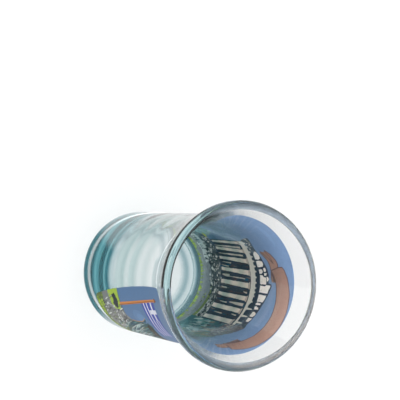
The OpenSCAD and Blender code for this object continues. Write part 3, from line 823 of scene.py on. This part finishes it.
def print_temple_stone(film):
    rng = random.Random(17)
    for i, (top_s, foot_s, top_w, foot_w) in enumerate(COLUMNS):
        foot_z = 24.3 + 0.32 * i
        tone = STONE_COOL if i == 0 else STONE
        half_t, half_f = top_w / 2, foot_w / 2
        shaft = rough_line([(foot_s - half_f, foot_z), (foot_s + half_f, foot_z),
                            (top_s + half_t, 43.8), (top_s - half_t, 43.8)], rng, 0.07, 0.9)
        film.add(shaft, tone, 6)
        capital = [(top_s - half_t * 1.1, 43.9), (top_s + half_t * 1.1, 43.9),
                   (top_s + half_t * 1.5, 45.0), (top_s - half_t * 1.5, 45.0)]
        film.add(rough_line(capital, rng, 0.1), shade(tone, 0.72), 6)
        for _ in range(FLUTES):
            s = top_s + rng.uniform(-0.7, 0.7) * half_t
            z = rng.uniform(30, 42)
            film.add(stroke([(s, z + 3), (s + 0.1, z), (s + 0.25, z - 4)], [0.05, 0.16, 0.04]),
                     shade(tone, rng.choice([0.8, 0.88, 1.08])), 7)
    for s, w, top, foot in INNER_COLUMNS:
        film.add(rough_line(stroke([(s, top), (s + 0.1, (top + foot) / 2), (s + 0.25, foot)],
                                   [w, w * 0.9, w * 0.25]), rng, 0.05, 0.9), shade(STONE, 0.86), 6)
    beam = [(41.4, 46.0), (50, 45.6), (60, 45.2), (71.6, 45.0), (71.7, 48.0), (66, 47.9), (58, 48.2),
            (50.6, 48.4), (49.6, 47.4), (45, 47.0), (41.4, 47.6)]
    film.add(rough_line(beam, rng, 0.07, 0.8), STONE_COOL, 6)
    for s in SPIKES:
        base, high, half = (47.0, 50.4, 0.45) if s < 50 else (48.0, 49.0, 0.38)
        film.add([(s - half, base), (s + half, base), (s + half * 0.35, high), (s - half * 0.35, high)],
                 STONE_COOL, 6)
    for block in GABLE_BLOCKS:
        film.add(rough_line(block, rng, 0.06, 0.8), shade(STONE_LIGHT, rng.uniform(0.94, 1.02)), 6)
        s, z = block[0]
        film.add(blot(s + 0.7, z + 0.9, 0.5, 0.8, rng, 7, 0.4), shade(STONE_LIGHT, 0.84), 7)
    for _ in range(GABLE_SPECKS):
        s, z = rng.uniform(68.2, 73.0), rng.uniform(49.4, 52.0)
        film.add(blot(s, z, 0.35, 0.7, rng, 6, 0.4), shade(STONE_LIGHT, 0.8), 6)


RIBBON_TOP = [(30.9, 62.9), (33.9, 64.4), (37.6, 65.5), (42.3, 66.1), (45.7, 66.2), (49.9, 65.8),
              (54.9, 65.0), (59.1, 63.9), (61.6, 62.9), (62.5, 62.2), (62.4, 60.5)]
RIBBON_FOOT = [(61.4, 57.0), (59.6, 58.2), (57.4, 59.0), (52.4, 60.1), (47.9, 60.8), (44.0, 60.9),
               (40.1, 60.6), (35.9, 59.6), (32.1, 58.2), (31.0, 57.4)]
RIBBON_RIGHT = [(61.2, 57.0), (62.2, 60.4), (63.4, 60.6), (64.7, 60.2), (66.7, 58.7), (68.1, 56.9),
                (67.5, 56.8), (65.8, 58.0), (63.7, 58.7), (65.5, 57.0), (67.7, 54.5), (67.2, 54.3),
                (64.7, 56.3), (63.3, 56.8)]
RIBBON_LEFT = [(31.2, 58.0), (31.2, 61.2), (28.8, 61.2), (27.4, 60.6), (28.6, 59.6), (27.8, 57.6),
               (29.6, 58.2)]
RIBBON_FOLDS = [[(57.8, 58.8), (57.8, 57.0), (59.2, 56.6), (61.4, 56.8), (60.8, 57.8), (59.4, 58.4)],
                [(36.0, 59.6), (36.0, 57.8), (33.8, 57.4), (31.8, 57.4), (32.2, 58.4), (34.0, 59.0)]]


def print_ribbon(film):
    body = RIBBON_TOP + RIBBON_FOOT
    for part in (RIBBON_RIGHT, RIBBON_LEFT):
        film.add(part, shade(RIBBON, 0.95), 6)
        film.line(part + part[:1], 0.3, RIBBON_EDGE, 7)
    for part in RIBBON_FOLDS:
        film.add(part, shade(RIBBON_EDGE, 1.1), 6)
        film.add([((s * 0.6 + part[1][0] * 0.4), (z * 0.35 + 57.1 * 0.65)) for s, z in part],
                 shade(RIBBON, 0.85), 7)
    film.add(body, lambda s, z: shade(RIBBON, 1.0 - 0.12 * abs(s - 47) / 16), 8)
    film.line(body + body[:1], 0.28, RIBBON_EDGE, 9)


def hoist(z):
    """Distance along the wall of the flagpole at a height."""
    t = (z - POLE_FOOT[1]) / (POLE_TIP[1] - POLE_FOOT[1])
    return POLE_FOOT[0] + (POLE_TIP[0] - POLE_FOOT[0]) * t


def print_pole(film):
    film.add(stroke([POLE_FOOT, POLE_TIP], [0.95, 0.75]), POLE, 6)
    film.add(stroke([(POLE_FOOT[0] + 0.28, POLE_FOOT[1]), (POLE_TIP[0] + 0.22, POLE_TIP[1] - 1)],
                    [0.3, 0.2]), shade(POLE, 0.72), 7)
    film.add(arc(POLE_TIP, 0.55, 0, 330, 11), shade(POLE, 0.6), 7)
    film.add([(POLE_TIP[0] - 0.6, POLE_TIP[1] - 0.9), (POLE_TIP[0] + 0.6, POLE_TIP[1] - 0.9),
              (POLE_TIP[0], POLE_TIP[1] + 1.6)], shade(POLE, 0.6), 6)


def flag_cloth(l0, l1, t0, t1):
    """A stretch of the flag, from l0 to l1 along it and t0 to t1 below its top; it waves a little."""
    def point(along, down):
        wave = 0.5 * math.sin(along / FLAG_L * 2 * math.pi) - 0.12 * along
        z = FLAG_TOP - down * (1 - 0.008 * along) + wave * along / FLAG_L
        return (hoist(FLAG_TOP - down) + 0.45 + along, z)
    count = max(1, round((l1 - l0) / 0.6))
    steps = [l0 + (l1 - l0) * i / count for i in range(count + 1)]
    return [point(a, t1) for a in steps] + [point(a, t0) for a in reversed(steps)]


def print_flag(blue, white):
    blue.add(flag_cloth(0, FLAG_L, 0, 9 * FLAG_STRIPE), FLAG_BLUE, 6)
    canton = 5 * FLAG_STRIPE
    for i in range(4):
        start = canton if i < 2 else 0
        white.add(flag_cloth(start, FLAG_L, (2 * i + 1.2) * FLAG_STRIPE, (2 * i + 1.8) * FLAG_STRIPE),
                  FLAG_WHITE, 7)
    white.add(flag_cloth(2 * FLAG_STRIPE, 3.1 * FLAG_STRIPE, 0, canton), FLAG_WHITE, 8)
    white.add(flag_cloth(0, canton, 2 * FLAG_STRIPE, 3 * FLAG_STRIPE), FLAG_WHITE, 7)


# ---- Stage ----
BACKDROP, FLOOR_SEEN = 0.98, 0.63  # what the camera sees of the backdrop and of the floor's glow
FLOOR_PAINT = (0.3, 0.3, 0.3, 1)
SOFT_LIGHT = 1.6  # the even light that falls on paint and floor
INNER_LIGHT = 5.0  # the same, once it has passed the wall
SKY_LIGHT = (0.35, 0.75, 0.8, 0.6)  # the studio from level with the glass to above it, by direction
SOFTBOX_SIDE, SOFTBOX = (-0.70, 0.70, 0.14), (0.75, 0.9, 0.0, 0.6)

# What the glass shows of the floor is patterned with painted shadow round the glass and a painted glint
# beside it, like the dark and bright things round a real one.
FLOOR_BRIGHT = 0.95
FOOT_R, FOOT_SHADOW = 15.0, (0.0, 3.2, 0.6, FLOOR_BRIGHT)  # seen through: a dim ring of painted shadow at the foot
UNDERSIDE = (FOOT_R, FOOT_R + 2.5, 0.2, FLOOR_BRIGHT)  # mirrored inside the glass: painted shadow, dim below it
ROUND_IT = (BODY_R + 8.5, BODY_R + 11, 0.3, FLOOR_BRIGHT)  # mirrored outside: painted shadow, dim round it,
FLANK_SIDE, FLANKS = (-0.69, 0.72, 0), (9.0, 17.0, 0.0, FLOOR_BRIGHT)  # bright to both sides,
GLINT_R, GLINT = BODY_R + 2.2, (0.1, 0.8, 2.4, 0.0)  # with a painted glint, a bright line close to the glass
FLOOR_SHADE_TINT, TINTED = (0.45, 0.80, 0.90, 1), (0.35, FLOOR_BRIGHT, 1.0, 0.0)  # a painted teal tint on the painted shadow, by how dim it is
FLOOR_SIZE, FLOOR_CELLS = 3.0, 24  # in metres


def by_ray(tree, seen, through):
    """One value for the camera's own sight of the stage, one for what glass shows of it, and one
    for the light that it gives to paint, which is stronger where the light passes the wall."""
    path = make_node(tree, "ShaderNodeLightPath")
    bounced = calc(tree, "GREATER_THAN", path.outputs["Diffuse Depth"], 0.5)
    inside = calc(tree, "GREATER_THAN", path.outputs["Transmission Depth"], 1.5)
    light = mix(tree, bounced, through, mix(tree, inside, SOFT_LIGHT, INNER_LIGHT))
    return mix(tree, path.outputs["Is Camera Ray"], light, seen)


def make_world():
    world = bpy.data.worlds.new("studio")
    bpy.context.scene.world = world
    world.use_nodes = True
    tree = world.node_tree
    tree.nodes.clear()
    place = make_node(tree, "ShaderNodeTexCoord").outputs["Generated"]
    height = make_node(tree, "ShaderNodeSeparateXYZ", {"Vector": place}).outputs["Z"]
    softbox = smooth(tree, measure(tree, "DOT_PRODUCT", place, SOFTBOX_SIDE), SOFTBOX)
    light = calc(tree, "ADD", smooth(tree, height, SKY_LIGHT), softbox)
    backdrop = make_node(tree, "ShaderNodeBackground",
                         {"Color": (1, 1, 1, 1), "Strength": by_ray(tree, BACKDROP, light)})
    make_node(tree, "ShaderNodeOutputWorld", {"Surface": backdrop.outputs["Background"]})


def floor_mesh():
    row = FLOOR_CELLS + 1
    cells, corners = range(FLOOR_CELLS), range(row)
    verts = [((i / FLOOR_CELLS - 0.5) * FLOOR_SIZE, (j / FLOOR_CELLS - 0.5) * FLOOR_SIZE, 0)
             for j in corners for i in corners]
    faces = [(j * row + i, j * row + i + 1, (j + 1) * row + i + 1, (j + 1) * row + i)
             for j in cells for i in cells]
    mesh = bpy.data.meshes.new("floor")
    mesh.from_pydata(verts, [], faces)
    return mesh


def shown_floor(tree):
    """What the glass shows of the floor, with its painted shadow and painted glint: seen through it,
    mirrored inside it or outside it.
    """
    place = object_place(tree)
    path = make_node(tree, "ShaderNodeLightPath")
    away = measure(tree, "LENGTH", place)
    # painted shadow: a dim ring on the floor round the glass's foot
    through = smooth(tree, distance(tree, away, FOOT_R * MM), FOOT_SHADOW, MM)
    across = calc(tree, "ABSOLUTE", measure(tree, "DOT_PRODUCT", place, FLANK_SIDE))
    outside = calc(tree, "MAXIMUM", ramp(tree, away, ROUND_IT, MM), smooth(tree, across, FLANKS, MM))
    # painted glint: a bright ring on the floor just outside the glass
    glint = smooth(tree, distance(tree, away, GLINT_R * MM), GLINT, MM)
    outside = calc(tree, "MAXIMUM", outside, glint)
    # painted shadow: the floor mirrored in the glass is dimmed below it and round it
    within = calc(tree, "GREATER_THAN", path.outputs["Transmission Depth"], 1.5)
    mirrored = mix(tree, within, outside, ramp(tree, away, UNDERSIDE, MM))
    once = calc(tree, "COMPARE", path.outputs["Glossy Depth"], 1.0, 0.5)
    return mix(tree, once, through, mirrored)


def make_floor():
    mesh = floor_mesh()
    floor = bpy.data.objects.new("floor", mesh)
    bpy.context.collection.objects.link(floor)
    material, tree, out = node_tree("floor")
    shown = shown_floor(tree)
    glow = by_ray(tree, FLOOR_SEEN, shown)
    # painted shade: the dim parts of what the glass shows of the floor are tinted teal
    hue = blend(tree, ramp(tree, shown, TINTED), (1, 1, 1, 1), FLOOR_SHADE_TINT)
    sight = make_node(tree, "ShaderNodeLightPath").outputs["Is Camera Ray"]
    paint = blend(tree, sight, (0, 0, 0, 1), FLOOR_PAINT)
    shader = make_node(tree, "ShaderNodeBsdfPrincipled",
                       {"Base Color": paint, "Roughness": 0.6, "Specular IOR Level": 0.0,
                        "Emission Color": hue, "Emission Strength": glow})
    tree.links.new(shader.outputs["BSDF"], out.inputs["Surface"])
    mesh.materials.append(material)


make_camera()
bpy.context.scene.view_settings.view_transform = "Standard"
make_world()
make_floor()

vessel = lathe("vessel", vessel_section(), TURNS)
vessel.data.materials.append(glass_material())
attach(vessel, "root")
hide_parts("glass_body")

films = {name: Film(name, slot) for name, slot in [
    ("sky_print", "sky_enamel"), ("meadow_print", "meadow_enamel"), ("hill_print", "hill_enamel"),
    ("path_print", "path_enamel"), ("rock_print", "rock_enamel"),
    ("shadow_print", "shadow_enamel"), ("temple_stone_print", "temple_stone_enamel"),
    ("ribbon_print", "ribbon_enamel"), ("flagpole_print", "flagpole_enamel"),
    ("flag_blue_print", "flag_blue_enamel"), ("flag_white_print", "flag_white_enamel")]}
print_sky(films["sky_print"])
print_meadow(films["meadow_print"])
print_hill(films["hill_print"])
print_path(films["path_print"])
print_rocks(films["rock_print"])
print_shadow(films["shadow_print"])
print_temple_stone(films["temple_stone_print"])
print_ribbon(films["ribbon_print"])
print_pole(films["flagpole_print"])
print_flag(films["flag_blue_print"], films["flag_white_print"])
for film in films.values():
    film.build()
